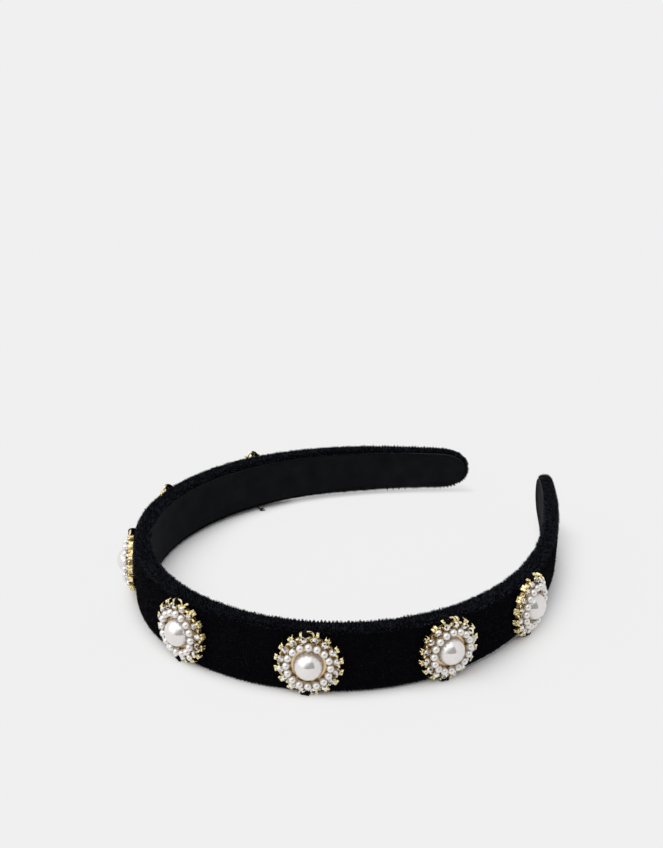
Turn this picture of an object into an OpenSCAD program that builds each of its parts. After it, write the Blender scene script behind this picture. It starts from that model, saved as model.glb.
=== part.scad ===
// Padded velvet headband with pearl and crystal motifs, lying on its edge.
// X runs across the head, Y from the crown to the tips, Z along the width of the band.
// The origin is under the middle of the crown, on the surface that the band lies on.

/* [Band] */
// Length of the band along its middle line, from tip to tip
band_length = 388; // [360:1:410]
// Radius of the bend at the crown
crown_radius = 57.5; // [55:0.5:62]
// Radius of the bend at the tips
tip_radius = 800; // [600:10:2000]
// Width of the band at the crown
crown_width = 20; // [19:0.5:24]
// Width of the band near the tips
tip_width = 13.5; // [13:0.5:16]
// Height of the rounded corners of the tips, across the band
tip_corner = 6.4; // [4:0.1:6.4]
// Length of the rounded corners of the tips, along the band
tip_length = 10; // [6:0.5:14]
// How far the left tip lies over the height of the crown, or under it
left_tip_rise = -1.5; // [-2:0.1:3]
// How far the right tip lies over the height of the crown, or under it
right_tip_rise = 2.6; // [-2:0.1:3]

/* [Layers] */
// Thickness of the springy core strip
core_thickness = 1.6; // [1:0.1:2.4]
// Thickness of the padding at the crown
crown_padding = 1.6; // [1:0.1:3]
// Thickness of the padding at the tips
tip_padding = 1; // [0.6:0.1:1.4]
// How much thinner the padding is along its edges, as a share
padding_fall = 0.2; // [0.1:0.05:0.6]
// Thickness of the velvet with its pile
velvet_thickness = 0.9; // [0.6:0.05:1.2]
// Rounding of the velvet edges
velvet_round = 0.9; // [0.5:0.05:1.2]
// Width of the velvet turned in on the inner face
turn_in = 2; // [1.6:0.1:3.5]
// Thickness of the lining
lining_thickness = 0.6; // [0.3:0.05:0.8]
// Clearance between two layers
layer_gap = 0.05; // [0.02:0.01:0.1]

/* [Flex lines] */
// Distance of each flex line from the middle of the crown
flex_at = 21; // [19:0.5:23]
// Width of the slit at a flex line
flex_gap = 0.3; // [0.2:0.05:0.5]

/* [Motif places] */
// Distance between two motifs along the band
motif_pitch = 38.5; // [36:0.5:42]
// Distance of the middle motif from the middle of the crown
motif_middle = 0.5; // [-2:0.5:2]
// Clearance between a motif and the velvet under it
seat_gap = 0.05; // [0.02:0.01:0.1]

/* [Motif pieces] */
// Diameter of the centre pearl
centre_pearl_d = 8; // [7:0.1:9]
// Height of the middle of the centre pearl over the velvet
centre_pearl_rise = 2.1; // [1.6:0.1:2.6]
// Diameter of the small pearls
small_pearl_d = 2.2; // [1.8:0.05:2.4]
// Gap between two small pearls
small_pearl_gap = 0.18; // [0.1:0.01:0.3]
// Diameter of the crystals
crystal_d = 1.7; // [1.4:0.05:1.9]
// Height of a crystal from its girdle to its table
crystal_crown = 0.55; // [0.3:0.05:0.7]
// Number of small pearls, and of crystals, in a motif
stone_count = 16; // [14:1:17]
// Thickness of the base plate of the setting
plate_thickness = 0.5; // [0.4:0.05:0.7]
// Height of the seat ring that carries the small pearls
seat_height = 1.45; // [1.2:0.05:1.8]
// How far the seat ring reaches past the middle of the small pearls
seat_lip = 0.45; // [0.2:0.05:0.7]
// Width of the bezel around the centre pearl
bezel_width = 0.95; // [0.7:0.05:1.1]
// Height of the bezel
bezel_height = 2.4; // [2.1:0.05:2.8]
// Height of the claw cups
cup_height = 1.85; // [1.6:0.05:2.2]
// Wall of the claw cups
cup_wall = 0.3; // [0.2:0.02:0.35]
// Depth of the pocket in a claw cup
cup_pocket = 0.8; // [0.5:0.05:1]
// Diameter of a claw
claw_d = 0.8; // [0.6:0.05:0.9]
// How far the claws stand over the cup
claw_rise = 0.25; // [0.1:0.05:0.4]
// How deep a claw is sunk into its cup
claw_sink = 0.19; // [0.1:0.01:0.3]
// Angle of the two claws of a cup to each side of its outermost point
claw_angle = 27.5; // [20:0.5:40]
// Clearance around a set pearl or crystal
stone_gap = 0.05; // [0.03:0.01:0.08]

/* [Thread] */
// Diameter of the sewing thread
thread_d = 0.32; // [0.25:0.01:0.38]
// Radius of a thread loop
loop_radius = 1.1; // [1:0.05:1.2]
// Diameter of the sewing holes
sewing_hole_d = 0.84; // [0.8:0.01:0.9]

/* [Hidden] */
$fn = 48;
half_length = band_length / 2;
// how far each motif is sewn away from its even place, from the left tip to the right tip
sewn_shift = [0.5, 0.5, -5.5, 1, 1, 1, -2.5];
motif_count = len(sewn_shift);
middle_motif = (motif_count + 1) / 2;
arm_stations = 24;
crown_stations = 8;
corner_steps = [72, 54, 36, 18, 0];
integral_steps = 16;
gauss_node = 1 / sqrt(3);

stone_step = 360 / stone_count;
bezel_bore = centre_pearl_d / 2 + stone_gap;
bezel_radius = bezel_bore + bezel_width;
small_pearl_ring = max((small_pearl_d + small_pearl_gap) / (2 * sin(stone_step / 2)),
                       bezel_radius + (small_pearl_d + small_pearl_gap) / 2);
seat_radius = small_pearl_ring + seat_lip;
sewing_hole_at = seat_radius + seat_gap + sewing_hole_d / 2;
cup_radius = crystal_d / 2 + stone_gap + cup_wall;
// the cups stand clear of the small pearls, and two strands of thread pass between two cups
crystal_ring = max(small_pearl_ring + (small_pearl_d + crystal_d) / 2,
                   (cup_radius + thread_d + stone_gap) / sin(stone_step / 2));
plate_radius = crystal_ring + cup_wall;
claw_reach = cup_radius + claw_d / 2 - claw_sink;
claw_out = claw_reach * cos(claw_angle);
claw_side = claw_reach * sin(claw_angle);
motif_radius = norm([crystal_ring + claw_out, claw_side]) + claw_d / 2;
middle_height = max(crown_width / 2, motif_radius);

velvet_colour = [0.03, 0.03, 0.04];
lining_colour = [0.10, 0.10, 0.11];
padding_colour = [0.75, 0.72, 0.60];
core_colour = [0.85, 0.85, 0.82];
gold_colour = [0.85, 0.68, 0.32];
pearl_colour = [0.95, 0.93, 0.90];
crystal_colour = [0.85, 0.90, 0.95];
thread_colour = [0.05, 0.05, 0.05];

SIDES = ["left", "crown", "right"];
LAYERS = ["velvet_cover", "padding", "core_strip", "lining"];
PIECES = ["setting", "centre_pearl", "small_pearls", "crystals", "thread_loops"];

// Direction of the middle line at a distance along it, in degrees from the crown's own direction
function turn(s) =
    180 / PI * (s / tip_radius
    + (1 / crown_radius - 1 / tip_radius) * (s - pow(s, 3) / (3 * pow(half_length, 2))));

// Point of the middle line, added up from the crown with two samples in each step
function middle_line(s) =
    let (step = s / integral_steps,
         samples = [for (k = [0:integral_steps - 1], e = [-1, 1]) turn(step * (k + (1 + e * gauss_node) / 2))])
    step / 2 * ([for (a = samples) 1] * [for (a = samples) [cos(a), sin(a)]]);

// Height of the middle line over its height at the crown, on the true band or on its mirror image
function rise(s, mirrored) =
    (mirrored == (s > 0) ? left_tip_rise : right_tip_rise) * pow(s / half_length, 4);

// Point at a distance along the band, at a height over the middle of its width and a depth outwards
function place(s, height, depth, mirrored = false) =
    let (a = turn(s), c = middle_line(s))
    [c.x + depth * sin(a), c.y - depth * cos(a), middle_height + rise(s, mirrored) + height];

function half_width(s) = (tip_width + (crown_width - tip_width) * (1 - pow(s / half_length, 2))) / 2;
function padding_at(s) = tip_padding + (crown_padding - tip_padding) * (1 - pow(s / half_length, 2));
function padding_top(pad, share) = pad * (1 - padding_fall * share * share);

// Ribs of an arm, from the flex line along the upper edge, round the tip and back along the lower edge.
// A rib has its place in the spine, the spine point, the rim point and the direction out of the rim.
tip_start = half_length - tip_length;
corner_height = min(tip_corner, half_width(tip_start) - layer_gap);
tip_centre = half_width(tip_start) - corner_height;
arm_start = flex_at + flex_gap / 2;
arm_spine = [for (i = [0:arm_stations]) arm_start + (tip_start - arm_start) * i / arm_stations];
arm_ribs = concat(
    [for (i = [0:arm_stations]) edge_rib(i, arm_spine[i], 1)],
    [for (a = corner_steps) tip_rib(a, 1)],
    [for (k = [1:len(corner_steps)]) tip_rib(corner_steps[len(corner_steps) - k], -1)],
    [for (k = [0:arm_stations]) edge_rib(arm_stations - k, arm_spine[arm_stations - k], -1)]);
arm_chains = [[0, len(arm_ribs) - 1]];

// Ribs of the crown piece, along its upper edge and back along its lower edge
crown_end = flex_at - flex_gap / 2;
crown_spine = [for (i = [0:crown_stations]) crown_end * (2 * i / crown_stations - 1)];
crown_ribs = concat(
    [for (i = [0:crown_stations]) edge_rib(i, crown_spine[i], 1)],
    [for (k = [0:crown_stations]) edge_rib(crown_stations - k, crown_spine[crown_stations - k], -1)]);
crown_chains = [[0, crown_stations], [crown_stations + 1, 2 * crown_stations + 1]];

function edge_rib(i, s, up) = [i, [s, 0], [s, up * half_width(s)], [0, up]];
function tip_rib(a, up) =
    let (out = [cos(a) / tip_length, up * sin(a) / corner_height])
    [arm_stations, [tip_start, 0],
     [tip_start + tip_length * cos(a), up * (tip_centre + corner_height * sin(a))],
     out / norm(out)];

// Points of a layer's face along one rib: each has a share of the way to the rim, an inset and a depth
function rib_points(rib, face, mirrored) =
    [for (f = face)
        let (p = rib[1] + f[0] * (rib[2] - f[1] * rib[3] - rib[1]))
        place(p.x, p.y, f[2], mirrored)];

// The faces of each layer: the depth at the spine, then the points along a rib
function velvet_outer(pad) =
    let (rim = padding_top(pad, 1) + velvet_thickness, back = -core_thickness - velvet_thickness)
    [[0.5, velvet_round, padding_top(pad, 0.5) + velvet_thickness],
     [0.8, velvet_round, padding_top(pad, 0.8) + velvet_thickness],
     [1, velvet_round, rim],
     [1, velvet_round * 0.3, rim - velvet_round * 0.4],
     [1, 0, rim - velvet_round],
     [1, 0, back + velvet_round],
     [1, velvet_round * 0.3, back + velvet_round * 0.4],
     [1, velvet_round, back],
     [1, turn_in, back]];
function velvet_inner(pad) =
    let (rim = padding_top(pad, 1) + layer_gap, back = -core_thickness - layer_gap)
    [[0.5, velvet_thickness, padding_top(pad, 0.5) + layer_gap],
     [0.8, velvet_thickness, padding_top(pad, 0.8) + layer_gap],
     [1, velvet_thickness, rim],
     [1, velvet_thickness, rim * 0.75 + back * 0.25],
     [1, velvet_thickness, rim * 0.55 + back * 0.45],
     [1, velvet_thickness, rim * 0.45 + back * 0.55],
     [1, velvet_thickness, rim * 0.25 + back * 0.75],
     [1, velvet_thickness, back],
     [1, turn_in, back]];
inner_inset = velvet_thickness + layer_gap;
function padding_outer(pad) =
    [for (share = [0.5, 0.8, 1]) [share, inner_inset, padding_top(pad, share)]];
function padding_inner(pad) =
    [for (share = [0.5, 0.8, 1]) [share, inner_inset, layer_gap]];
function core_outer(pad) = [[1, inner_inset, 0]];
function core_inner(pad) = [[1, inner_inset, -core_thickness]];
lining_back = -core_thickness - layer_gap;
function lining_outer(pad) = [[1, turn_in + layer_gap, lining_back]];
function lining_inner(pad) = [[1, turn_in + layer_gap, lining_back - lining_thickness]];

function outer_face(layer, pad) =
    layer == "velvet_cover" ? velvet_outer(pad) :
    layer == "padding" ? padding_outer(pad) :
    layer == "core_strip" ? core_outer(pad) : lining_outer(pad);
function inner_face(layer, pad) =
    layer == "velvet_cover" ? velvet_inner(pad) :
    layer == "padding" ? padding_inner(pad) :
    layer == "core_strip" ? core_inner(pad) : lining_inner(pad);
function outer_spine(layer, pad) =
    layer == "velvet_cover" ? pad + velvet_thickness :
    layer == "padding" ? pad :
    layer == "core_strip" ? 0 : lining_back;
function inner_spine(layer, pad) =
    layer == "velvet_cover" ? pad + layer_gap :
    layer == "padding" ? layer_gap :
    layer == "core_strip" ? -core_thickness : lining_back - lining_thickness;

// One closed solid between the outer and the inner face of a layer.
// The ribs of a chain are joined to each other, and the first and last rib of a chain are cut faces.
module layer_solid(layer, spine, ribs, chains, mirrored = false) {
    columns = len(outer_face(layer, 1));
    rows = len(ribs);
    stations = len(spine);
    function out(k, v) = v == 0 ? ribs[k][0] : 2 * stations + k * columns + v - 1;
    function in(k, v) = v == 0 ? stations + ribs[k][0] : 2 * stations + (rows + k) * columns + v - 1;
    function pad(rib) = padding_at(rib[1].x);
    points = concat(
        [for (s = spine) place(s, 0, outer_spine(layer, padding_at(s)), mirrored)],
        [for (s = spine) place(s, 0, inner_spine(layer, padding_at(s)), mirrored)],
        [for (rib = ribs) each rib_points(rib, outer_face(layer, pad(rib)), mirrored)],
        [for (rib = ribs) each rib_points(rib, inner_face(layer, pad(rib)), mirrored)]);
    faces = [for (chain = chains) each concat(
        [for (k = [chain[0]:chain[1] - 1], v = [0:columns - 1]) each concat(
            [[out(k, v), out(k, v + 1), out(k + 1, v + 1)],
             [in(k, v), in(k + 1, v + 1), in(k, v + 1)]],
            out(k, v) == out(k + 1, v) ? [] :
            [[out(k, v), out(k + 1, v + 1), out(k + 1, v)],
             [in(k, v), in(k + 1, v), in(k + 1, v + 1)]])],
        [for (k = [chain[0]:chain[1] - 1]) each
            [[out(k + 1, columns), out(k, columns), in(k, columns)],
             [out(k + 1, columns), in(k, columns), in(k + 1, columns)]]],
        [for (v = [0:columns - 1], k = [chain[0]]) each
            [[out(k, v + 1), out(k, v), in(k, v)],
             [out(k, v + 1), in(k, v), in(k, v + 1)]]],
        [for (v = [0:columns - 1], k = [chain[1]]) each
            [[out(k, v), out(k, v + 1), in(k, v + 1)],
             [out(k, v), in(k, v + 1), in(k, v)]]])];
    polyhedron(points, faces);
}

module band_layer(layer, side) {
    if (side == "crown") layer_solid(layer, crown_spine, crown_ribs, crown_chains);
    if (side == "right") layer_solid(layer, arm_spine, arm_ribs, arm_chains);
    if (side == "left") mirror([1, 0, 0]) layer_solid(layer, arm_spine, arm_ribs, arm_chains, true);
}

module velvet_cover(side) {
    color(velvet_colour) band_layer("velvet_cover", side);
}

module padding(side) {
    color(padding_colour) band_layer("padding", side);
}

module core_strip(side) {
    color(core_colour) band_layer("core_strip", side);
}

module lining(side) {
    color(lining_colour) band_layer("lining", side);
}

// Distance along the band of a motif, counted from the left tip
function motif_at(i) = motif_middle + (i - middle_motif) * motif_pitch + sewn_shift[i - 1];

// Puts a motif on the velvet, its back plate outwards of the band and its top upwards
module at_motif(i) {
    s = motif_at(i);
    translate(place(s, 0, padding_at(s) + velvet_thickness + seat_gap))
        rotate([90, 0, turn(s)])
            children();
}

// Repeats a piece around the motif, starting at its top
module around(first_step) {
    for (k = [0:stone_count - 1])
        rotate(90 + (k + first_step) * stone_step)
            children();
}

module claw_cup() {
    cylinder(r = cup_radius, h = cup_height);
    for (side = [-1, 1])
        translate([claw_out, side * claw_side, 0])
            cylinder(d = claw_d, h = cup_height + claw_rise);
}

module bezel() {
    rotate_extrude()
        polygon([[0, 0], [bezel_radius, 0], [bezel_radius, seat_height],
                 [bezel_bore + bezel_width / 3, bezel_height], [bezel_bore, bezel_height],
                 [bezel_bore, plate_thickness], [0, plate_thickness]]);
}

module setting(i) {
    color(gold_colour) at_motif(i) difference() {
        union() {
            cylinder(r = plate_radius, h = plate_thickness);
            difference() {
                cylinder(r = seat_radius, h = seat_height);
                translate([0, 0, plate_thickness])
                    cylinder(r = (bezel_bore + bezel_radius) / 2, h = seat_height);
            }
            bezel();
            around(0.5) translate([crystal_ring, 0, 0]) claw_cup();
        }
        translate([0, 0, plate_thickness])
            cylinder(r = bezel_bore, h = bezel_height);
        around(0.5) translate([crystal_ring, 0, cup_height - cup_pocket])
            cylinder(d = crystal_d + 2 * stone_gap, h = cup_height);
        for (side = [90, 270])
            rotate(side) translate([sewing_hole_at, 0, -plate_thickness])
                cylinder(d = sewing_hole_d, h = 3 * plate_thickness);
    }
}

module centre_pearl(i) {
    color(pearl_colour) at_motif(i) intersection() {
        translate([0, 0, centre_pearl_rise])
            sphere(d = centre_pearl_d);
        translate([0, 0, plate_thickness + stone_gap])
            cylinder(d = 2 * centre_pearl_d, h = 2 * centre_pearl_d);
    }
}

module small_pearls(i) {
    color(pearl_colour) at_motif(i) around(0)
        translate([small_pearl_ring, 0, seat_height + small_pearl_d / 2 + stone_gap])
            sphere(d = small_pearl_d);
}

module crystals(i) {
    pocket_floor = cup_height - cup_pocket + stone_gap;
    color(crystal_colour) at_motif(i) around(0.5) translate([crystal_ring, 0, 0]) {
        translate([0, 0, pocket_floor])
            cylinder(d = crystal_d, h = cup_height - stone_gap - pocket_floor);
        translate([0, 0, cup_height - stone_gap])
            cylinder(d1 = crystal_d, d2 = crystal_d * 0.6, h = crystal_crown);
    }
}

module thread_loops(i) {
    color(thread_colour) at_motif(i)
        for (side = [90, 270], strand = [-1, 1])
            rotate(side)
                translate([sewing_hole_at + loop_radius, strand * (thread_d + stone_gap) / 2, plate_thickness / 2])
                    rotate([90, 0, 0])
                        rotate_extrude()
                            translate([loop_radius, 0])
                                circle(d = thread_d);
}

for (side = SIDES) {
    velvet_cover(side);
    padding(side);
    core_strip(side);
    lining(side);
}
for (i = [1:motif_count]) {
    setting(i);
    centre_pearl(i);
    small_pearls(i);
    crystals(i);
    thread_loops(i);
}
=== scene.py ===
"""Black velvet headband with pearl and crystal motifs, lying on its edge on a pale floor."""
import math
import random

import bpy
import numpy as np
from mathutils import Matrix, Vector


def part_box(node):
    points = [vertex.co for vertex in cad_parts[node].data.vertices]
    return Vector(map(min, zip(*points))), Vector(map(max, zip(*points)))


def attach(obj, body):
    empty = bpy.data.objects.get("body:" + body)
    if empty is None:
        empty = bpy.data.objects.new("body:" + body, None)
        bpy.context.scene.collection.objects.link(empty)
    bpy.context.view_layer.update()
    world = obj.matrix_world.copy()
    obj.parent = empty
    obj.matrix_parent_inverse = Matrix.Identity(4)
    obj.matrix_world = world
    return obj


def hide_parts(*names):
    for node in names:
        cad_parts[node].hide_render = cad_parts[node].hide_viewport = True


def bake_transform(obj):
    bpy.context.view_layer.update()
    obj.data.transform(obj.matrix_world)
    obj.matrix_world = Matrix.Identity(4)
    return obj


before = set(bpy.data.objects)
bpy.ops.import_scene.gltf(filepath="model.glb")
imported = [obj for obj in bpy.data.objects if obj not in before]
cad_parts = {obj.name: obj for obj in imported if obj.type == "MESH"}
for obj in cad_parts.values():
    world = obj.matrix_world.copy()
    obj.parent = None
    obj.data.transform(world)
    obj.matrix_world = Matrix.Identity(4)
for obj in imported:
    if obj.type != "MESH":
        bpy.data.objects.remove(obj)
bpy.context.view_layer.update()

# Sizes of the band, in metres
MM = 0.001
HALF_LENGTH = 194 * MM
CROWN_RADIUS = 57.5 * MM
TIP_RADIUS = 800 * MM
CROWN_WIDTH = 20 * MM
TIP_WIDTH = 13.5 * MM
TIP_CORNER = 6.4 * MM
TIP_LENGTH = 10 * MM
MIDDLE_HEIGHT = 10 * MM
TIP_RISE = {-1: -1.5 * MM, 1: 2.6 * MM}
CORE_THICKNESS = 1.6 * MM
CROWN_PADDING = 1.6 * MM
TIP_PADDING = 1 * MM
PADDING_FALL = 0.2
VELVET_THICKNESS = 0.9 * MM
EDGE_ROUND = 0.9 * MM
TIP_ROUND = 1.9 * MM
ROUND_FROM = 110 * MM
TURN_IN = 2 * MM
LINING_THICKNESS = 0.6 * MM
LAYER_GAP = 0.05 * MM
MERGE_DISTANCE = 0.002 * MM
TIP_START = HALF_LENGTH - TIP_LENGTH

# Sizes of a motif, in metres
MOTIFS = range(1, 8)
STONES = 16
STONE_STEP = 2 * math.pi / STONES
PLATE_RADIUS = 8.44 * MM
PLATE_THICKNESS = 0.5 * MM
GALLERY_WALL = 0.25 * MM
GALLERY_HEIGHT = 1.05 * MM
CENTRE_PEARL_RADIUS = 4.2 * MM
CENTRE_PEARL_DOME = 4 * MM
CENTRE_PEARL_RISE = 1.7 * MM
BEZEL_BORE = 4.25 * MM
BEZEL_RADIUS = 5 * MM
BEZEL_HEIGHT = 1.55 * MM
BEZEL_SLOPE = 0.25 * MM
BEZEL_STEP = 0.05 * MM
SETTING_EDGE = 0.1 * MM
SEAT_RADIUS = 6.64 * MM
SEAT_HEIGHT = 1.45 * MM
SMALL_PEARL_RADIUS = 1.1 * MM
SMALL_PEARL_RING = 6.08 * MM
SMALL_PEARL_HEIGHT = 2.6 * MM
CRYSTAL_RADIUS = 1.03 * MM
CRYSTAL_RING = 7.88 * MM
CRYSTAL_GIRDLE = 1.75 * MM
CRYSTAL_CROWN = 0.55 * MM
CRYSTAL_EDGE = 0.08 * MM
CUP_RADIUS = 1.12 * MM
CUP_HEIGHT = 1.65 * MM
CUP_FLOOR = 1.05 * MM
CLAW_WIDTH = 0.88 * MM
CLAW_DEPTH = 0.85 * MM
CLAW_HEIGHT = 1.4 * MM
CLAW_OUT = 1.45 * MM
CLAW_SIDE = 0.47 * MM
CLAW_LEAN = 0.1 * MM
CLAW_BEVEL = 0.1 * MM
CLAW_TOP = (0.9, 0.94, 1)
BEAD_RADIUS = 0.52 * MM
BEAD_OUT = 0.35 * MM
BEAD_HEIGHT = 1.1 * MM
BEAD_STRETCH = (1, 1.3, 1)
EYELET_RADIUS = 1.28 * MM
EYELET_WIRE = 0.29 * MM
EYELET_HEIGHT = 1.15 * MM
EYELET_AT = {1: 8.9 * MM, -1: 8.35 * MM}
THREAD_RADIUS = 0.18 * MM

# Sides of the round pieces of a motif, and the angles over which their faces meet in a crease
SETTING_SIDES = 96
CUP_SIDES = 14
CRYSTAL_SIDES = 10
SETTING_CREASE = math.radians(35)
PEARL_CREASE = math.radians(40)
# Faces whose normal has at least this much of Z face upwards
FACES_UP = 0.9

# The pile of the velvet
PILE_HEIGHT = 0.2 * MM
EDGE_RISE = 0.45 * MM
PILE_ROW = 1.1 * MM
PILE_CHANGE = 8 * MM
TUFT_RADIUS = 0.08 * MM
FACE_TUFTS = 44000
EDGE_TUFTS = 44000
ROWS_DRAWN = 4000
CLUMPS_ACROSS = 40
TUFT_LUCK = 1.6
TUFT_LENGTHS = 0.8, 1.1
TUFT_WIDTHS = 0.7, 1.2
TUFT_LEAN = 0.12
LOWER_EDGE_PILE = 0.5
TURNED_IN_PILE = 0.6

# The bend across a flex line runs between these places along the band
BEND_START = 12 * MM
BEND_END = 30 * MM

# The photograph's camera, in metres and pixels
CAMERA_PLACE = Vector((0.263526, -0.214614, 0.210642))
CAMERA_FORWARD = Vector((-0.64348, 0.6657, -0.37787))
CAMERA_UP = Vector((-0.27754, 0.25715, 0.92566))
IMAGE_HEIGHT = 848
FOCAL_PIXELS = 1355.6
SENSOR = 36
CLIP_START, CLIP_END = 0.01, 100

ARMS = {"left": -1, "right": 1}


# Curves of the band

LINE_STEPS = 4000
line_s = np.linspace(-HALF_LENGTH * 1.05, HALF_LENGTH * 1.05, LINE_STEPS + 1)


def turn(s):
    """Direction of the band's middle line at a distance along it, in radians."""
    bend = 1 / CROWN_RADIUS - 1 / TIP_RADIUS
    return s / TIP_RADIUS + bend * (s - s**3 / (3 * HALF_LENGTH**2))


def summed(direction):
    """Adds up a direction along the middle line, with zero at the crown."""
    middles = direction((line_s[1:] + line_s[:-1]) / 2)
    total = np.concatenate([[0], np.cumsum(middles * np.diff(line_s))])
    return total - np.interp(0, line_s, total)


line_x = summed(lambda s: np.cos(turn(s)))
line_y = summed(lambda s: np.sin(turn(s)))


def place(s, height, depth, side):
    """Points of one arm at distances along it, at heights over its middle and depths out of it."""
    a = turn(s)
    x = np.interp(s, line_s, line_x) + depth * np.sin(a)
    y = np.interp(s, line_s, line_y) - depth * np.cos(a)
    z = MIDDLE_HEIGHT + TIP_RISE[side] * (s / HALF_LENGTH) ** 4 + height
    return np.stack([side * x, y, z], -1)


def half_width(s):
    return (TIP_WIDTH + (CROWN_WIDTH - TIP_WIDTH) * (1 - (s / HALF_LENGTH) ** 2)) / 2


def padding_at(s):
    return TIP_PADDING + (CROWN_PADDING - TIP_PADDING) * (1 - (s / HALF_LENGTH) ** 2)


TIP_CENTRE = half_width(TIP_START) - TIP_CORNER
CORNER_RUN = math.pi / 2 * math.hypot(TIP_CORNER, TIP_LENGTH) / math.sqrt(2)
TIP_RUN = CORNER_RUN + TIP_CENTRE
RIM_RUN = 2 * (TIP_START + TIP_RUN)


def rib(run):
    """The rib at each run along the rim, from the crown along the upper edge, round the tip and back.

    Gives the rib's place on the spine, its rim point and its direction out of the rim, as (s, height).
    """
    up = np.where(run <= RIM_RUN / 2, 1.0, -1.0)
    run = np.minimum(run, RIM_RUN - run)
    spine = np.minimum(run, TIP_START)
    angle = np.pi / 2 * (1 - np.clip((run - TIP_START) / CORNER_RUN, 0, 1))
    straight = np.clip(run - TIP_START - CORNER_RUN, 0, TIP_CENTRE)
    on_tip = run > TIP_START
    rim_s = spine + np.where(on_tip, TIP_LENGTH * np.cos(angle), 0)
    tip_h = TIP_CENTRE - straight + TIP_CORNER * np.sin(angle)
    rim_h = np.where(on_tip, tip_h, half_width(spine))
    out_s = np.where(on_tip, np.cos(angle) / TIP_LENGTH, 0)
    out_h = np.sin(angle) / TIP_CORNER
    size = np.hypot(out_s, out_h)
    return spine, rim_s, up * rim_h, out_s / size, up * out_h / size


def on_rib(run, share, inset, depth, side):
    """Points of one arm at a share of the way to the rim, an inset from the rim and a depth."""
    spine, rim_s, rim_h, out_s, out_h = rib(run)
    s = spine + share * (rim_s - inset * out_s - spine)
    h = share * (rim_h - inset * out_h)
    return place(s, h, depth, side)


# Parts of the velvet's profile, from the spine of the outer face to the edge turned in behind the lining
FACE_END, CORNER_END, EDGE_END, BACK_CORNER_END, PILE_END = 0.5, 0.6, 0.75, 0.85, 0.92
# How far back from the end of the pile the velvet is bare inside the tips
TIP_BARE = 0.12
# Where the cloth of the edge starts to rise, and the shares of the profile over which it rises and falls
RISE_BEFORE, RISE_OVER, FALL_OVER = 0.05, 0.15, 0.09
# Where the full pile of the edge ends below, past the middle of the tip, and how long it takes to fade
FULL_RUN = 5 * TIP_RUN
FADE_RUN = 2 * TIP_RUN


def fullness(run):
    """How full the edge stands: full above and near the tip, and not at all on the rest below."""
    return np.clip((RIM_RUN / 2 + FULL_RUN - run) / FADE_RUN, 0, 1)


def towards_tip(spine):
    """How far a place on the spine is on the way to the tip, from where the edges grow rounder."""
    return np.clip((spine - ROUND_FROM) / (TIP_START - ROUND_FROM), 0, 1)


def velvet_points(run, across, sink, side):
    """Points of the velvet at runs along the rim and shares of its profile, sunk under its surface."""
    spine = rib(run)[0]
    pad = padding_at(spine)
    edge_round = EDGE_ROUND + (TIP_ROUND - EDGE_ROUND) * towards_tip(spine)
    risen = np.clip((across - FACE_END + RISE_BEFORE) / RISE_OVER, 0, 1)
    fallen = np.clip((PILE_END - across) / FALL_OVER, 0, 1)
    sink = sink - EDGE_RISE * fullness(run) * (risen * fallen)
    rim = pad * (1 - PADDING_FALL) + VELVET_THICKNESS
    back = -CORE_THICKNESS - VELVET_THICKNESS
    arc = edge_round - sink
    face = np.clip(across / FACE_END, 0, 1)
    corner = np.clip((across - FACE_END) / (CORNER_END - FACE_END), 0, 1) * np.pi / 2
    edge = np.clip((across - CORNER_END) / (EDGE_END - CORNER_END), 0, 1)
    back_corner = np.clip((across - EDGE_END) / (BACK_CORNER_END - EDGE_END), 0, 1) * np.pi / 2
    margin = np.clip((across - BACK_CORNER_END) / (1 - BACK_CORNER_END), 0, 1)
    low, high = back + edge_round, rim - edge_round
    part = [across <= FACE_END, across <= CORNER_END, across <= EDGE_END, across <= BACK_CORNER_END]
    inset = np.select(part, [edge_round + 0 * face, edge_round - arc * np.sin(corner), sink + 0 * edge,
                             edge_round - arc * np.cos(back_corner)],
                      edge_round + (TURN_IN - edge_round) * margin)
    depth = np.select(part, [pad * (1 - PADDING_FALL * face**2) + VELVET_THICKNESS - sink,
                             high + arc * np.cos(corner), high + (low - high) * edge,
                             low - arc * np.sin(back_corner)],
                      back + sink)
    return on_rib(run, face, inset, depth, side)


# Modelling

def start_piece():
    """Leaves nothing selected, so that the next operator works on its own primitive alone."""
    bpy.ops.object.select_all(action="DESELECT")


def shaped(name, sculpt):
    """Ends the shaping of the active object: names it and moves each point where sculpt puts it."""
    piece = bpy.context.object
    piece.name = piece.data.name = name
    points = np.empty(len(piece.data.vertices) * 3)
    piece.data.vertices.foreach_get("co", points)
    piece.data.vertices.foreach_set("co", sculpt(points.reshape(-1, 3)).ravel())
    piece.data.update()
    return piece


def in_edit(operation):
    """Runs mesh operators on all of the active object."""
    bpy.ops.object.mode_set(mode="EDIT")
    bpy.ops.mesh.select_all(action="SELECT")
    operation()
    bpy.ops.object.mode_set(mode="OBJECT")


def closed_up():
    bpy.ops.mesh.remove_doubles(threshold=MERGE_DISTANCE)
    bpy.ops.mesh.normals_make_consistent(inside=False)


def applied(piece, kind, **settings):
    """Adds a modifier to the piece and applies it."""
    modifier = piece.modifiers.new(kind.title(), kind)
    for name, value in settings.items():
        setattr(modifier, name, value)
    bpy.context.view_layer.objects.active = piece
    bpy.ops.object.modifier_apply(modifier=modifier.name)


def strip(name, side, runs, rows, layer_points):
    """A sheet of one arm: a grid laid along the rim in one direction and over the profile in the other."""
    start_piece()
    bpy.ops.mesh.primitive_grid_add(x_subdivisions=runs, y_subdivisions=rows, size=1)
    piece = shaped(name, lambda p: layer_points((p[:, 0] + 0.5) * RIM_RUN, p[:, 1] + 0.5, side))
    in_edit(closed_up)
    return piece


def bent(piece, side):
    """Bakes the piece's transform into its mesh; the ends of the bend along its arm are worked out but not
    used.
    """
    ends = place(np.array([BEND_START, BEND_END]), 0, 0, side)
    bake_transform(piece)


# Shader maths

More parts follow.
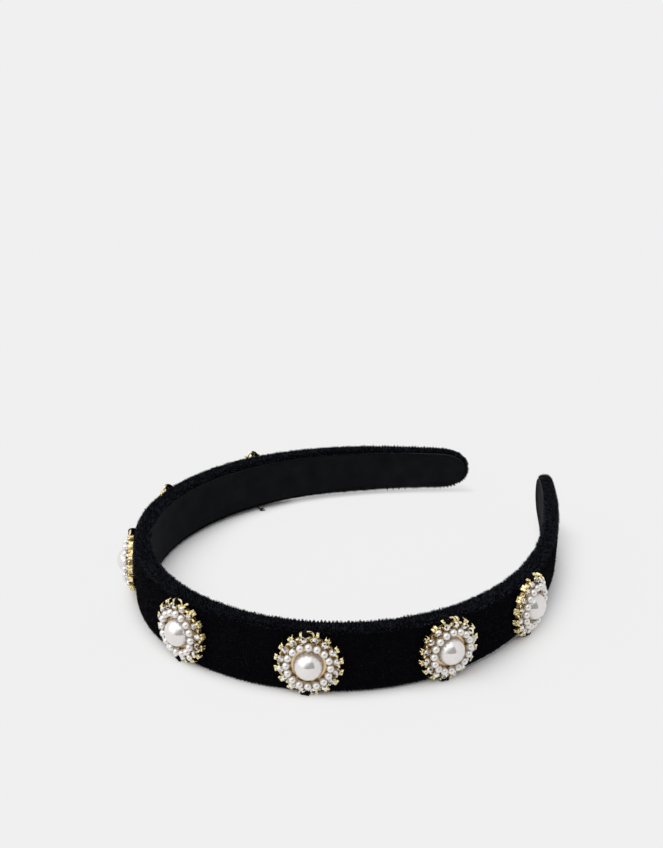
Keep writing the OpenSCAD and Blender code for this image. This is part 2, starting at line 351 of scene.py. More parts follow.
class Paint:
    """A value in a node tree. Arithmetic on it adds Math nodes, and node() adds any other node."""

    def __init__(self, tree, socket=None):
        self.tree, self.socket = tree, socket

    def node(self, kind, settings=None, sockets=None, out=0):
        made = self.tree.nodes.new(kind)
        for name, value in (settings or {}).items():
            if name == "stops":
                ramp = made.color_ramp.elements
                for _ in range(len(value) - len(ramp)):
                    ramp.new(0.5)
                for stop, (at, colour) in zip(ramp, value):
                    stop.position, stop.color = at, (*colour, 1)
            else:
                setattr(made, name, value)
        for name, value in (sockets or {}).items():
            if isinstance(value, Paint):
                self.tree.links.new(value.socket, made.inputs[name])
            else:
                made.inputs[name].default_value = value
        return Paint(self.tree, made.outputs[out])

    def math(self, operation, *values):
        return self.node("ShaderNodeMath", {"operation": operation}, dict(enumerate(values)))

    def __add__(self, other):
        return self.math("ADD", self, other)

    __radd__ = __add__

    def __sub__(self, other):
        return self.math("SUBTRACT", self, other)

    def __rsub__(self, other):
        return self.math("SUBTRACT", other, self)

    def __mul__(self, other):
        return self.math("MULTIPLY", self, other)

    __rmul__ = __mul__


def finish(name, colour, build=None, **constants):
    """A material on one Principled shader: constants on its own sockets, then what build links to it."""
    material = bpy.data.materials.new(name)
    material.use_nodes = True
    tree = material.node_tree
    shader = tree.nodes["Principled BSDF"]
    shader.inputs["Base Color"].default_value = (*colour, 1)
    material.diffuse_color = (*colour, 1)
    for socket, value in constants.items():
        shader.inputs[socket.replace("_", " ")].default_value = value
    if build:
        for socket, value in build(Paint(tree)).items():
            tree.links.new(value.socket, shader.inputs[socket])
    return material


NOISE_DETAIL = 3


def grain(paint, size):
    """Soft noise of a size in metres on the object's own coordinates."""
    place_on = paint.node("ShaderNodeTexCoord", out="Object")
    return paint.node("ShaderNodeTexNoise",
                      sockets={"Vector": place_on, "Scale": 1 / size, "Detail": NOISE_DETAIL})


def shades(paint, value, *stops):
    return paint.node("ShaderNodeValToRGB", {"stops": stops}, {"Fac": value})


def bump(paint, height, depth):
    return paint.node("ShaderNodeBump", sockets={"Height": height, "Distance": depth, "Strength": 1.0})


def velvet_ground(paint):
    threads = grain(paint, 0.4 * MM)
    return {
        "Base Color": shades(paint, threads, (0.3, (0.001, 0.001, 0.0015)), (0.7, (0.003, 0.003, 0.0045))),
        "Normal": bump(paint, threads, 0.1 * MM),
    }


def lining_weave(paint):
    threads = grain(paint, 0.25 * MM)
    patches = grain(paint, 6 * MM)
    tone = threads * 0.5 + patches * 0.5
    return {
        "Base Color": shades(paint, tone, (0.35, (0.002, 0.0022, 0.003)), (0.65, (0.0075, 0.008, 0.01))),
        "Roughness": 0.75 + threads * 0.2,
        "Normal": bump(paint, threads, 0.05 * MM),
    }


def gold_plating(paint):
    marks = grain(paint, 0.45 * MM)
    return {
        "Base Color": shades(paint, marks, (0.34, (0.22, 0.14, 0.05)), (0.44, (0.86, 0.68, 0.32)),
                             (0.6, (1.0, 0.91, 0.60))),
        "Roughness": 0.08 + marks * 0.15,
        "Normal": bump(paint, marks, 0.05 * MM),
    }


# The gold of the setting's turned base, darker and more orange than the plating: painted shade with a warm
# painted reflection, in random blotches.
def gold_in_shade(paint):
    blotches = grain(paint, 1.2 * MM)
    return {
        "Base Color": shades(paint, blotches, (0.3, (0.80, 0.56, 0.29)), (0.7, (0.92, 0.70, 0.42))),
        "Roughness": 0.22 + blotches * 0.2,
    }


def pearl_lustre(paint):
    clouds = grain(paint, 2.5 * MM)
    return {
        "Base Color": shades(paint, clouds, (0.3, (0.79, 0.76, 0.74)), (0.7, (0.84, 0.815, 0.8))),
        "Roughness": 0.06 + clouds * 0.06,
    }


GLINT_CELL_SIZE = 0.6 * MM


# Cells of the crystal's colour, from nearly black to nearly white, are painted glints and painted dark
# reflections of its facets.
def crystal_glints(paint):
    place_on = paint.node("ShaderNodeTexCoord", out="Object")
    glint_cells = paint.node("ShaderNodeTexVoronoi", sockets={"Vector": place_on, "Scale": 1 / GLINT_CELL_SIZE},
                        out="Color")
    tone = paint.node("ShaderNodeSeparateColor", sockets={"Color": glint_cells})
    return {
        "Base Color": shades(paint, tone, (0.16, (0.035, 0.03, 0.025)), (0.24, (0.3, 0.285, 0.26)),
                             (0.5, (0.69, 0.675, 0.645)), (0.8, (0.99, 0.98, 0.955))),
    }


def thread_twist(paint):
    fibres = grain(paint, 0.15 * MM)
    return {
        "Base Color": shades(paint, fibres, (0.3, (0.0006, 0.0006, 0.0008)), (0.7, (0.003, 0.003, 0.004))),
        "Normal": bump(paint, fibres, 0.05 * MM),
    }


def foam_cells(paint):
    cells = grain(paint, 0.6 * MM)
    return {
        "Base Color": shades(paint, cells, (0.3, (0.62, 0.58, 0.46)), (0.7, (0.78, 0.75, 0.64))),
        "Normal": bump(paint, cells, 0.2 * MM),
    }


def moulded_strip(paint):
    flow = grain(paint, 4 * MM)
    return {
        "Base Color": shades(paint, flow, (0.3, (0.76, 0.76, 0.74)), (0.7, (0.84, 0.84, 0.82))),
        "Roughness": 0.45 + flow * 0.15,
    }


VELVET_GROUND = finish("velvet ground", (0.002, 0.002, 0.003), velvet_ground, Roughness=0.95,
                       Specular_IOR_Level=0.03)
# Four tones of one velvet pile, from the darkest to the palest. The tufts take them at random, but the edge
# takes far more of the paler tones than the face: painted sheen.
VELVET_PILE = [
    finish("velvet pile deep", (0.0026, 0.0026, 0.0036), Roughness=0.85, Specular_IOR_Level=0.02),
    finish("velvet pile", (0.0051, 0.0051, 0.007), Roughness=0.75, Specular_IOR_Level=0.05),
    finish("velvet pile paler", (0.0095, 0.0098, 0.0138), Roughness=0.6, Specular_IOR_Level=0.12),
    finish("velvet pile painted sheen", (0.027, 0.032, 0.047), Roughness=0.5, Specular_IOR_Level=0.15),
]
LINING = finish("lining weave", (0.005, 0.005, 0.006), lining_weave, Specular_IOR_Level=0.08)
# The cut edge of the lining is far paler than the lining: a painted highlight where light from above catches
# it.
LINING_EDGE_HIGHLIGHT = finish("cut edge of the lining with painted highlight", (0.045, 0.045, 0.05), Roughness=0.8, Specular_IOR_Level=0.1)
GOLD = finish("gold plating", (0.95, 0.82, 0.48), gold_plating, Metallic=1.0)
SHADED_SEAT_GOLD = finish("gold of the seat in painted shade", (0.8, 0.56, 0.28), gold_in_shade, Metallic=1.0)
# A darker plain gold for the upward faces in the setting's recesses: painted shade.
SHADED_PLATE_GOLD = finish("gold of the plate in painted shade", (0.58, 0.42, 0.2), Metallic=1.0, Roughness=0.5)
PEARL = finish("pearl lustre", (0.8, 0.78, 0.76), pearl_lustre, Metallic=0.5, Coat_Weight=0.5,
               Coat_Roughness=0.03)
CRYSTAL = finish("cut crystal with painted glints", (0.82, 0.81, 0.79), crystal_glints, Metallic=0.5, Roughness=0.05)
THREAD = finish("black thread", (0.002, 0.002, 0.0025), thread_twist, Roughness=0.65,
                Specular_IOR_Level=0.08)
FOAM = finish("foam cells", (0.72, 0.68, 0.56), foam_cells, Roughness=0.9)
STRIP = finish("moulded strip", (0.8, 0.8, 0.78), moulded_strip)


def dressed(piece, material):
    piece.data.materials.clear()
    for each in material if isinstance(material, list) else [material]:
        piece.data.materials.append(each)
    return piece


# The band: velvet, pile, lining and padding of each arm, which meet at the middle of the crown

CLOTH_RUNS = 400
CLOTH_ROWS = 26
CLOTH_THICKNESS = 0.25 * MM


def velvet_cover(arm, side):
    cover = strip(f"velvet_{arm}", side, CLOTH_RUNS, CLOTH_ROWS,
                  lambda run, across, side: velvet_points(run, across, PILE_HEIGHT, side))
    applied(cover, "SOLIDIFY", thickness=CLOTH_THICKNESS, offset=-1)
    bpy.ops.object.shade_smooth()
    dressed(cover, VELVET_GROUND)
    bent(cover, side)
    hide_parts(f"velvet_cover_{arm}", "velvet_cover_crown")


def motif_place(i):
    """The matrix of a motif: X along the band, Y up and Z outwards, from the back of its plate."""
    low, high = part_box(f"small_pearls_{i}")
    centre = (low + high) / 2
    gaps = (line_x - centre.x) ** 2 + (line_y - centre.y) ** 2
    s = line_s[gaps.argmin()]
    a = turn(s)
    along, out = Vector((math.cos(a), math.sin(a), 0)), Vector((math.sin(a), -math.cos(a), 0))
    origin = centre - out * SMALL_PEARL_HEIGHT
    columns = [along, Vector((0, 0, 1)), out, origin]
    return Matrix([[c[r] for c in columns] for r in range(3)] + [[0, 0, 0, 1]]), s


SCATTER_RUNS = 700
SCATTER_ROWS = 60


def scattered(rng, side, count, across_range):
    """Random places over a part of the velvet, evenly by area: runs along the rim and profile shares."""
    runs = np.linspace(0, RIM_RUN, SCATTER_RUNS + 1)
    shares = np.linspace(*across_range, SCATTER_ROWS + 1)
    points = velvet_points(*np.meshgrid(runs, shares, indexing="ij"), 0, side)
    one, two = points[1:, :-1] - points[:-1, :-1], points[:-1, 1:] - points[:-1, :-1]
    area = np.linalg.norm(np.cross(one, two), axis=-1).ravel()
    cell = rng.choice(len(area), count, p=area / area.sum())
    i, j = np.divmod(cell, SCATTER_ROWS)
    run = runs[i] + rng.random(count) * (runs[1] - runs[0])
    across = shares[j] + rng.random(count) * (shares[1] - shares[0])
    return run, across


def tufts(name, root, tip, rng):
    """A piece of slender three-sided tufts, each from its root to its tip."""
    count = len(root)
    axis = tip - root
    axis /= np.linalg.norm(axis, axis=1)[:, None]
    across_1 = np.cross(axis, rng.normal(size=(count, 3)))
    across_1 /= np.linalg.norm(across_1, axis=1)[:, None]
    across_2 = np.cross(axis, across_1)
    radius = TUFT_RADIUS * rng.uniform(*TUFT_WIDTHS, count)[:, None]
    corners = [root + radius * (math.cos(a) * across_1 + math.sin(a) * across_2)
               for a in (0, 2 * math.pi / 3, 4 * math.pi / 3)]
    points = np.stack([*corners, tip], 1).reshape(-1, 3)
    first = 4 * np.arange(count)[:, None]
    sides = [first + side for side in ([0, 1, 3], [1, 2, 3], [2, 0, 3], [0, 2, 1])]
    mesh = bpy.data.meshes.new(name)
    mesh.from_pydata(points, [], np.stack(sides, 1).reshape(-1, 3))
    piece = bpy.data.objects.new(name, mesh)
    bpy.context.scene.collection.objects.link(piece)
    return piece


# Parts of the pile: seed, tufts, reach over the profile, lengths, how far rows clump and the tones' shares.
# The edge's shares lean to the paler tones as painted sheen.
PILE_PARTS = {
    "face": (10, FACE_TUFTS, (0, FACE_END), (0.26 * MM, 0.44 * MM), (0.1, 0.4), (0.5, 0.3, 0.16, 0.04)),
    "edge": (20, EDGE_TUFTS, (FACE_END, PILE_END), (0.45 * MM, 0.8 * MM), (0.3, 0.95),
             (0.16, 0.2, 0.28, 0.36)),
}


def pile(part, arm, side):
    """A part of the pile: tufts that stand on the velvet in rows and lean a little."""
    seed, count, across_range, lengths, clump, tone_and_sheen_shares = PILE_PARTS[part]
    rng = np.random.default_rng(seed + list(ARMS).index(arm))
    run, across = scattered(rng, side, count, across_range)
    spine = rib(run)[0]
    open_velvet = across < PILE_END - TIP_BARE * towards_tip(spine)
    for i in MOTIFS:
        near = velvet_points(run, across, 0, side) - np.array(motif_place(i)[0].translation)
        open_velvet &= np.linalg.norm(near, axis=1) > PLATE_RADIUS
    run, across = run[open_velvet], across[open_velvet]
    count = len(run)

    row = np.round(run / PILE_ROW)
    row_length = rng.uniform(*lengths, ROWS_DRAWN)[row.astype(int)]
    length = row_length * rng.uniform(*TUFT_LENGTHS, count)
    edge_length = LOWER_EDGE_PILE + (1 - LOWER_EDGE_PILE) * fullness(run)
    length *= np.where(across > FACE_END, edge_length, 1)
    length *= np.where(across > BACK_CORNER_END, TURNED_IN_PILE, 1)
    changes = np.arange(0, RIM_RUN + PILE_CHANGE, PILE_CHANGE)
    pull = (row * PILE_ROW - run) * np.interp(run, changes, rng.uniform(*clump, len(changes)))
    root = velvet_points(run, across, PILE_HEIGHT + TUFT_RADIUS, side)
    tip = velvet_points(run + pull, across, PILE_HEIGHT - length, side)
    tip += rng.normal(0, TUFT_LEAN, (count, 3)) * length[:, None]
    tip[:, 2] = np.maximum(tip[:, 2], 0)

    piece = dressed(tufts(f"velvet_pile_{part}_{arm}", root, tip, rng), VELVET_PILE)
    # Each tuft takes a tone at random by its clump, in the part's shares, which on the edge are painted
    # sheen.
    clumps = rng.random((ROWS_DRAWN, CLUMPS_ACROSS))
    clump_luck = clumps[row.astype(int), (across * CLUMPS_ACROSS).astype(int)]
    rank = (clump_luck + TUFT_LUCK * rng.random(count)).argsort().argsort() / count
    shade = np.searchsorted(np.cumsum(tone_and_sheen_shares), rank, side="right")
    piece.data.polygons.foreach_set("material_index", np.repeat(shade, 4).astype(np.int32))
    piece.data.update()
    bent(piece, side)


LINING_RUNS = 400
LINING_ROWS = 7
LINING_BACK = -CORE_THICKNESS - LAYER_GAP - LINING_THICKNESS
LINING_LAP = 0.3 * MM
LINING_INSET = TURN_IN - LINING_LAP
LINING_WIDER = 0.9 * MM
LINING_HEM = 0.5 * MM
HEM_FROM = 0.7
HEM_OVER = 0.2
LINING_CREASE = math.radians(50)


def lining_points(run, across, side):
    hem = LINING_HEM * np.clip((across - HEM_FROM) / HEM_OVER, 0, 1)
    inset = LINING_INSET - LINING_WIDER * towards_tip(rib(run)[0])
    return on_rib(run, across, inset, LINING_BACK - hem, side)


def lining(arm, side):
    piece = strip(f"lining_sheet_{arm}", side, LINING_RUNS, LINING_ROWS, lining_points)
    # The lining's rim, made by the solidify below, takes the second material: the painted highlight of its
    # cut edge.
    dressed(piece, [LINING, LINING_EDGE_HIGHLIGHT])
    applied(piece, "SOLIDIFY", thickness=LINING_THICKNESS / 2, offset=1, material_offset_rim=1)
    bpy.ops.object.shade_smooth_by_angle(angle=LINING_CREASE)
    bent(piece, side)
    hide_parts(f"lining_{arm}", "lining_crown")


PADDING_RUNS = 120
PADDING_ROWS = 12
PADDING_INSET = VELVET_THICKNESS + LAYER_GAP
PADDING_CREASE = math.radians(40)


def padding_points(run, across, side):
    """The padding's profile: out over its top to the rim and back under it to the spine."""
    over = across <= 0.5
    share = np.where(over, across, 1 - across) * 2
    pad = padding_at(rib(run)[0])
    depth = np.where(over, pad * (1 - PADDING_FALL * share**2), LAYER_GAP)
    return on_rib(run, share, PADDING_INSET, depth, side)


def padding(arm, side):
    piece = strip(f"padding_foam_{arm}", side, PADDING_RUNS, PADDING_ROWS, padding_points)
    bpy.ops.object.shade_smooth_by_angle(angle=PADDING_CREASE)
    dressed(piece, FOAM)
    bent(piece, side)
    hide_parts(f"padding_{arm}", "padding_crown")


# The motifs, each piece modelled once round the origin and copied to its places

def turned(profile, sides):
    """A shape turned round Z: a circle extruded and scaled through (radius, height) points, and capped."""
    start_piece()
    radius, height = profile[0]
    bpy.ops.mesh.primitive_circle_add(vertices=sides, radius=radius, location=(0, 0, height),
                                      fill_type="NGON")
    bpy.ops.object.transform_apply()
    bpy.ops.object.mode_set(mode="EDIT")
    bpy.ops.mesh.select_all(action="SELECT")
    for next_radius, next_height in profile[1:]:
        bpy.ops.mesh.extrude_region_move(TRANSFORM_OT_translate={"value": (0, 0, next_height - height)})
        grow = next_radius / radius
        bpy.ops.transform.resize(value=(grow, grow, 1))
        radius, height = next_radius, next_height
    bpy.ops.mesh.select_all(action="SELECT")
    bpy.ops.mesh.normals_make_consistent(inside=False)
    bpy.ops.object.mode_set(mode="OBJECT")
    return bpy.context.object


def ring_of(model, radius, first_step, left_out=()):
    """Copies a model round the motif, from the top, and joins the copies."""
    copies = []
    for k in sorted(set(range(STONES)) - set(left_out)):
        angle = math.pi / 2 + (k + first_step) * STONE_STEP
        copy = model.copy()
        copy.data = model.data.copy()
        copy.data.transform(Matrix.Rotation(angle, 4, "Z") @ Matrix.Translation((radius, 0, 0)))
        bpy.context.scene.collection.objects.link(copy)
        copies.append(copy)
    bpy.data.objects.remove(model)
    return joined(copies)


def joined(pieces):
    start_piece()
    for piece in pieces:
        piece.select_set(True)
    bpy.context.view_layer.objects.active = pieces[0]
    bpy.ops.object.join()
    return bpy.context.object


def claw_model(side):
    """One tooth of a claw: a block that narrows to its top and leans over the crystal."""
    start_piece()
    bpy.ops.mesh.primitive_cube_add(size=1, location=(CLAW_OUT, side * CLAW_SIDE, CLAW_HEIGHT / 2))
    claw = bpy.context.object
    claw.scale = (CLAW_DEPTH, CLAW_WIDTH, CLAW_HEIGHT)
    bpy.ops.object.transform_apply()
    bpy.ops.object.mode_set(mode="EDIT")
    bpy.ops.mesh.select_all(action="DESELECT")
    bpy.ops.object.mode_set(mode="OBJECT")
    for face in claw.data.polygons:
        face.select = face.normal.z > FACES_UP
    bpy.ops.object.mode_set(mode="EDIT")
    bpy.ops.transform.resize(value=CLAW_TOP)
    bpy.ops.transform.translate(value=(-CLAW_LEAN, 0, 0))
    bpy.ops.object.mode_set(mode="OBJECT")
    applied(claw, "BEVEL", width=CLAW_BEVEL, segments=1)
    return claw


def bead_model():
    """A bead of solder between two cups."""
    start_piece()
    bpy.ops.mesh.primitive_ico_sphere_add(subdivisions=1, radius=BEAD_RADIUS, location=(0, 0, BEAD_HEIGHT))
    bpy.ops.object.transform_apply()
    in_edit(lambda: bpy.ops.transform.resize(value=BEAD_STRETCH))
    return bpy.context.object


def eyelet_model(side):
    """The wire eyelet at the top or the bottom of a setting."""
    start_piece()
    at = (0, side * EYELET_AT[side], EYELET_HEIGHT)
    bpy.ops.mesh.primitive_torus_add(major_radius=EYELET_RADIUS, minor_radius=EYELET_WIRE, major_segments=28,
                                     minor_segments=8, location=at)
    bpy.ops.object.transform_apply()
    return bpy.context.object


def setting_model():
    """The gold setting: plate, gallery, seat ring and bezel turned in one, with cups, claws and eyelets.

    The claws beside an eyelet have a single tooth, and a bead of solder lies between each two cups.
    """
    base = turned([
        (PLATE_RADIUS - SETTING_EDGE, 0), (PLATE_RADIUS, SETTING_EDGE), (PLATE_RADIUS, GALLERY_HEIGHT),
        (PLATE_RADIUS - GALLERY_WALL, GALLERY_HEIGHT), (PLATE_RADIUS - GALLERY_WALL, PLATE_THICKNESS),
        (SEAT_RADIUS, PLATE_THICKNESS),
        (SEAT_RADIUS, SEAT_HEIGHT - SETTING_EDGE), (SEAT_RADIUS - SETTING_EDGE, SEAT_HEIGHT),
        (BEZEL_RADIUS + SETTING_EDGE, SEAT_HEIGHT), (BEZEL_RADIUS, SEAT_HEIGHT + BEZEL_STEP),
        (BEZEL_RADIUS - BEZEL_SLOPE, BEZEL_HEIGHT), (BEZEL_BORE + BEZEL_SLOPE, BEZEL_HEIGHT),
        (BEZEL_BORE, BEZEL_HEIGHT), (BEZEL_BORE, PLATE_THICKNESS)], SETTING_SIDES)
    # The turned base takes the seat gold, in painted shade.
    base.data.materials.append(SHADED_SEAT_GOLD)
    base.data.materials.append(SHADED_PLATE_GOLD)
    # Upward faces outside the bezel (the plate, the seat's top and the gallery's rim) take the darker plate
    # gold: painted shade of the recesses between stones and pearls.
    for face in base.data.polygons:
        face.material_index = int(face.normal.z > FACES_UP and face.center.xy.length > BEZEL_RADIUS)
    cup = turned([
        (CUP_RADIUS * 0.8, 0), (CUP_RADIUS * 0.86, CUP_HEIGHT * 0.5), (CUP_RADIUS, CUP_HEIGHT * 0.8),
        (CUP_RADIUS, CUP_HEIGHT), (CRYSTAL_RADIUS, CUP_HEIGHT), (CRYSTAL_RADIUS * 0.8, CUP_FLOOR)], CUP_SIDES)
    bright = [ring_of(cup, CRYSTAL_RING, 0.5), ring_of(bead_model(), CRYSTAL_RING + BEAD_OUT, 0),
              ring_of(claw_model(-1), CRYSTAL_RING, 0.5, left_out=(0, STONES // 2)),
              ring_of(claw_model(1), CRYSTAL_RING, 0.5, left_out=(STONES // 2 - 1, STONES - 1)),
              eyelet_model(1), eyelet_model(-1)]
    for piece in bright:
        piece.data.materials.append(GOLD)
    model = joined([base, *bright])
    bpy.ops.object.shade_smooth_by_angle(angle=SETTING_CREASE)
    return model


def centre_pearl_model():
    """A half pearl, a little flatter than a ball and cut off at its foot."""
    start_piece()
    bpy.ops.mesh.primitive_uv_sphere_add(segments=64, ring_count=40, radius=CENTRE_PEARL_RADIUS)
    flat = CENTRE_PEARL_DOME / CENTRE_PEARL_RADIUS
    in_edit(lambda: bpy.ops.transform.resize(value=(1, 1, flat)))
    in_edit(lambda: bpy.ops.transform.translate(value=(0, 0, CENTRE_PEARL_RISE)))
    foot = PLATE_THICKNESS + LAYER_GAP
    in_edit(lambda: bpy.ops.mesh.bisect(plane_co=(0, 0, foot), plane_no=(0, 0, -1), clear_outer=True,
                                        use_fill=True))
    bpy.ops.object.shade_smooth_by_angle(angle=PEARL_CREASE)
    return bpy.context.object


def small_pearls_model():
    start_piece()
    bpy.ops.mesh.primitive_uv_sphere_add(segments=16, ring_count=10, radius=SMALL_PEARL_RADIUS,
                                         location=(0, 0, SMALL_PEARL_HEIGHT))
    bpy.ops.object.transform_apply()
    bpy.ops.object.shade_smooth()
    return ring_of(bpy.context.object, SMALL_PEARL_RING, 0)


def crystals_model():
    """The ring of crystals: a narrow foot, a girdle and a crown with a flat table."""
    stone = turned([
        (0.3 * CRYSTAL_RADIUS, CUP_FLOOR + LAYER_GAP), (CRYSTAL_RADIUS, CRYSTAL_GIRDLE - CRYSTAL_EDGE),
        (CRYSTAL_RADIUS, CRYSTAL_GIRDLE), (0.86 * CRYSTAL_RADIUS, CRYSTAL_GIRDLE + 0.6 * CRYSTAL_CROWN),
        (0.5 * CRYSTAL_RADIUS, CRYSTAL_GIRDLE + CRYSTAL_CROWN)], CRYSTAL_SIDES)
    return ring_of(stone, CRYSTAL_RING, 0.5)


# Strands of the top and the bottom bundle, their first and last angle from the eyelet's outer point,
# how far they reach over the wire, and the room that they have outwards
BUNDLES = {1: (9, 30, 100, 0.5 * MM, 1.55 * MM), -1: (16, -5, 100, 1.3 * MM, 1.42 * MM)}
# How far a strand may be turned, in degrees, and how high it may stand, in millimetres
STRAND_TURN = -5, 5
STRAND_HEIGHT = 1.65, 1.85
# Loose ends of thread of single motifs, as offsets in millimetres from the middle of an eyelet
LOOSE_ENDS = {
    6: (1, [(0.1, 0, 1.5), (-0.6, 1.2, 2.1), (-1.5, 1.9, 0.9), (-2.1, 1.6, 0.1)]),
    1: (-1, [(0, -1.1, 0.6), (-0.2, -1.15, -2), (-0.3, -1.1, -5), (-0.9, -0.9, -5.7), (-0.2, -0.4, -6),
             (0.5, -0.9, -5.6), (-0.3, -1.1, -5.4), (-0.7, -0.7, -6.1), (0.2, -0.6, -6.4), (0.4, -1.1, -6),
             (-0.4, -1.15, -6.3), (-1.1, -1.05, -6.6)]),
}


def strand(route):
    """One strand of thread along a route of points."""
    start_piece()
    bpy.ops.curve.primitive_bezier_curve_add()
    curve = bpy.context.object
    points = curve.data.splines[0].bezier_points
    points.add(len(route) - 2)
    for point, at in zip(points, route):
        point.co = at
        point.handle_left_type = point.handle_right_type = "AUTO"
    curve.data.bevel_depth = THREAD_RADIUS
    curve.data.bevel_resolution = 1
    curve.data.resolution_u = 6
    curve.data.use_fill_caps = True
    bpy.ops.object.convert(target="MESH")
    bpy.ops.object.transform_apply()
    return bpy.context.object


def thread_model(seed):
    """The sewing thread: strands up through each eyelet, over its wire and down into the velvet."""
    rng = random.Random(seed)
    strands = []
    for side, (count, first, last, reach, room) in BUNDLES.items():
        for k in range(count):
            angle = math.radians(first + (last - first) * k / (count - 1) + rng.uniform(*STRAND_TURN))
            past = min(EYELET_RADIUS + reach, room / max(math.cos(angle), 0.1))
            over = rng.uniform(*STRAND_HEIGHT) * MM
            route = [(0.2 * MM, -0.3 * MM), (0.5 * MM, 0.75 * over), (0.9 * EYELET_RADIUS, over),
                     (past, 0.5 * over), (0.95 * past, -0.5 * MM)]
            sine, cosine = math.sin(angle), math.cos(angle)
            strands.append(strand([(-far * sine, side * (EYELET_AT[side] + far * cosine), height)
                                   for far, height in route]))
    if seed in LOOSE_ENDS:
        side, route = LOOSE_ENDS[seed]
        eyelet = Vector((0, side * EYELET_AT[side], 0))
        strands.append(strand([Vector(step) * MM + eyelet for step in route]))
    model = joined(strands)
    bpy.ops.object.shade_smooth()
    return model


def motif_body(s):
    return "left_arm" if s < -BEND_START else "right_arm" if s > BEND_START else "crown"


def motifs():
    models = {
        "gold_setting": (setting_model(), None, "gold", "setting"),
        "pearl_dome": (centre_pearl_model(), PEARL, "pearl", "centre_pearl"),
        "pearl_ring": (small_pearls_model(), PEARL, "pearl", "small_pearls"),
        "crystal_ring": (crystals_model(), CRYSTAL, "crystal", "crystals"),
    }
    for i in MOTIFS:
        at, s = motif_place(i)
        pieces = [(name, model.data.copy(), material, slot, node)
                  for name, (model, material, slot, node) in models.items()]
        threads = thread_model(i)
        pieces.append(("sewing_thread", threads.data.copy(), THREAD, "thread", "thread_loops"))
        bpy.data.objects.remove(threads)
        for name, mesh, material, slot, node in pieces:
            mesh.transform(at)
            piece = bpy.data.objects.new(f"{name}_{i}", mesh)
            bpy.context.scene.collection.objects.link(piece)
            if material:
                mesh.materials.append(material)
            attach(piece, motif_body(s))
            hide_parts(f"{node}_{i}")
    for model, *_ in models.values():
        bpy.data.objects.remove(model)


for arm, side in ARMS.items():
    velvet_cover(arm, side)
    for part in PILE_PARTS:
        pile(part, arm, side)
    lining(arm, side)
    padding(arm, side)
motifs()
for part in ("left", "crown", "right"):
    dressed(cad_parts[f"core_strip_{part}"], STRIP)


# Floor, light and camera

PALE = 0.871
NEAR_FLOOR = 0.13
FAR_FLOOR = 15
FLOOR_MIDDLE = Vector((0, 0.07, 0))
FLOOR_CELLS = 200
FLOOR_SPREAD = 24
LINE_SKIP = 20
# How far the shadow reaches over the floor on the two sides of the band, by places along the band from its
# left tip to its right tip. A shadow that reaches less far than a full one is also paler.
SHADE_AT = np.array([-194, -130, -105, -80, -40, -15, 65, 88, 105, 130, 165, 182, 194]) * MM
SHADE_OUTSIDE = np.array([1, 2, 6, 9, 7, 6, 6, 19, 13, 11, 12, 15, 7]) * MM
SHADE_INSIDE = np.array([1.5, 2.5, 8, 18, 24, 12, 5, 3, 2.5, 2, 1, 1, 1]) * MM
FULL_SHADE = 4 * MM
FLOOR_GLOW = 0.95
FLOOR_WHITE = 0.98


def pale_floor(paint):
    glow = paint.node("ShaderNodeAttribute", {"attribute_name": "glow"}, out="Fac")
    return {
        "Base Color": shades(paint, glow, (0, (FLOOR_WHITE,) * 3), (1, (0, 0, 0))),
        "Emission Color": shades(paint, glow, (0, (0, 0, 0)), (1, (PALE,) * 3)),
    }


def floor():
    """A pale floor, finely divided round the band, with a glow that leaves the shadow close to the band."""
    start_piece()
    bpy.ops.mesh.primitive_grid_add(x_subdivisions=FLOOR_CELLS, y_subdivisions=FLOOR_CELLS, size=2)
    sheet = shaped("floor", lambda p: p * (NEAR_FLOOR + (FAR_FLOOR - NEAR_FLOOR) * np.abs(p) ** FLOOR_SPREAD)
                   + np.array(FLOOR_MIDDLE))
    points = np.array([vertex.co for vertex in sheet.data.vertices])[:, None, :2]
    on_band = np.flatnonzero(np.abs(line_s) < HALF_LENGTH)[::LINE_SKIP]
    offsets = points - np.stack([line_x, line_y], -1)[on_band]
    gaps = np.linalg.norm(offsets, axis=2)
    nearest = gaps.argmin(1)
    s = line_s[on_band][nearest]
    outwards = np.stack([np.sin(turn(s)), -np.cos(turn(s))], -1)
    outside = (offsets[np.arange(len(s)), nearest] * outwards).sum(1) > 0
    reach_out, reach_in = np.interp(s, SHADE_AT, SHADE_OUTSIDE), np.interp(s, SHADE_AT, SHADE_INSIDE)
    reach = np.where(outside, reach_out, reach_in)
    away = (gaps.min(1) - CORE_THICKNESS - VELVET_THICKNESS) / reach
    fade = np.maximum(np.sqrt(np.clip(away, 0, 1)), 1 - reach / FULL_SHADE)
    glow = sheet.data.attributes.new("glow", "FLOAT", "POINT")
    glow.data.foreach_set("value", FLOOR_GLOW * fade**2 * (3 - 2 * fade))
    sheet.data.materials.append(finish("pale floor", (FLOOR_WHITE,) * 3, pale_floor, Roughness=1.0,
                                       Specular_IOR_Level=0.0, Emission_Strength=1.0))


# Light by direction, as seen from the photograph's side: one large round light over the left of the camera,
# and a paler front than back. What shines shows a pale room with a dim part round the camera.
FRONT = Vector((0.64, -0.66, 0)).normalized()
RIGHT = Vector((0.713, 0.701, 0)).normalized()
UP = Vector((0, 0, 1))
KEY_TOWARDS = (0.28 * FRONT - 0.52 * RIGHT + 0.84 * UP).normalized()
KEY_EDGE = 0.5
AMBIENT = 0.38
FRONT_LIGHT = 0.2
KEY = 1.1
ROOM = 0.95
# Where the front light and the edges of the dim part of the room start and end
FRONT_FADE = -0.5, 0.5
ROOM_BACK = 0.1, 0.4
ROOM_RIGHT = 0.05, -0.05
ROOM_LEFT = -0.3, 0.3
ROOM_SLANT = 0.6
ROOM_TOP = 0.85, 0.6


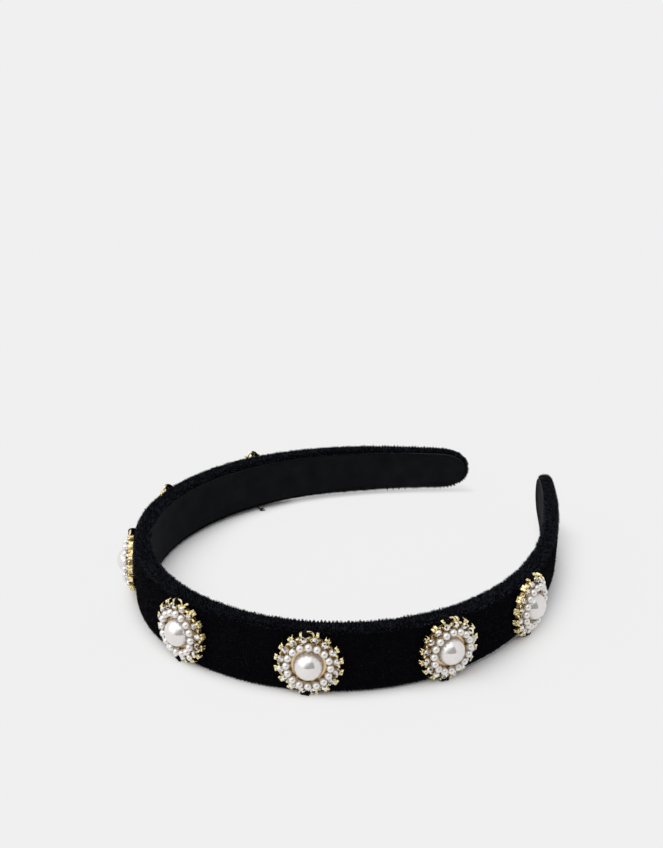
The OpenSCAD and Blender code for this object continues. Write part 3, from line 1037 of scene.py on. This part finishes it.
def studio_light():
    """A pale studio with one large round light, and with a dim part that only shiny things show."""
    world = bpy.data.worlds.new("studio")
    bpy.context.scene.world = world
    world.use_nodes = True
    tree = world.node_tree
    paint = Paint(tree)
    direction = paint.node("ShaderNodeTexCoord", out="Generated")

    def along(axis):
        return paint.node("ShaderNodeVectorMath", {"operation": "DOT_PRODUCT"}, {0: direction, 1: axis},
                          "Value")

    def fade(value, zero, one):
        return paint.node("ShaderNodeMapRange", {"interpolation_type": "SMOOTHSTEP"},
                          {"Value": value, "From Min": zero, "From Max": one})

    key = fade(along(KEY_TOWARDS), KEY_EDGE, 1)
    front, right = along(FRONT), along(RIGHT)
    room = (fade(front, *ROOM_BACK) * fade(right - front, *ROOM_RIGHT)
            * fade(right + front * ROOM_SLANT, *ROOM_LEFT) * fade(along(UP), *ROOM_TOP))
    camera_ray, glossy_ray, clear_ray = (paint.node("ShaderNodeLightPath", out=f"Is {name} Ray")
                                         for name in ("Camera", "Glossy", "Transmission"))
    seen = paint.math("MAXIMUM", camera_ray, paint.math("MAXIMUM", glossy_ray, clear_ray))
    plain = AMBIENT + FRONT_LIGHT * fade(front, *FRONT_FADE)
    pale = plain + seen * (PALE - plain)
    strength = pale * (1 - ROOM * room * glossy_ray) + KEY * key * (1 - camera_ray)
    tree.links.new(strength.socket, tree.nodes["Background"].inputs["Strength"])
    tree.nodes["Background"].inputs["Color"].default_value = (1, 1, 1, 1)


def camera():
    data = bpy.data.cameras.new("camera")
    data.sensor_width = SENSOR
    data.lens = FOCAL_PIXELS * SENSOR / IMAGE_HEIGHT
    data.clip_start, data.clip_end = CLIP_START, CLIP_END
    eye = bpy.data.objects.new("camera", data)
    bpy.context.scene.collection.objects.link(eye)
    back = -CAMERA_FORWARD.normalized()
    right = CAMERA_UP.cross(back).normalized()
    columns = [right, back.cross(right), back, CAMERA_PLACE]
    eye.matrix_world = Matrix([[c[r] for c in columns] for r in range(3)] + [[0, 0, 0, 1]])
    bpy.context.scene.camera = eye


floor()
studio_light()
camera()
bpy.context.scene.view_settings.view_transform = "Standard"
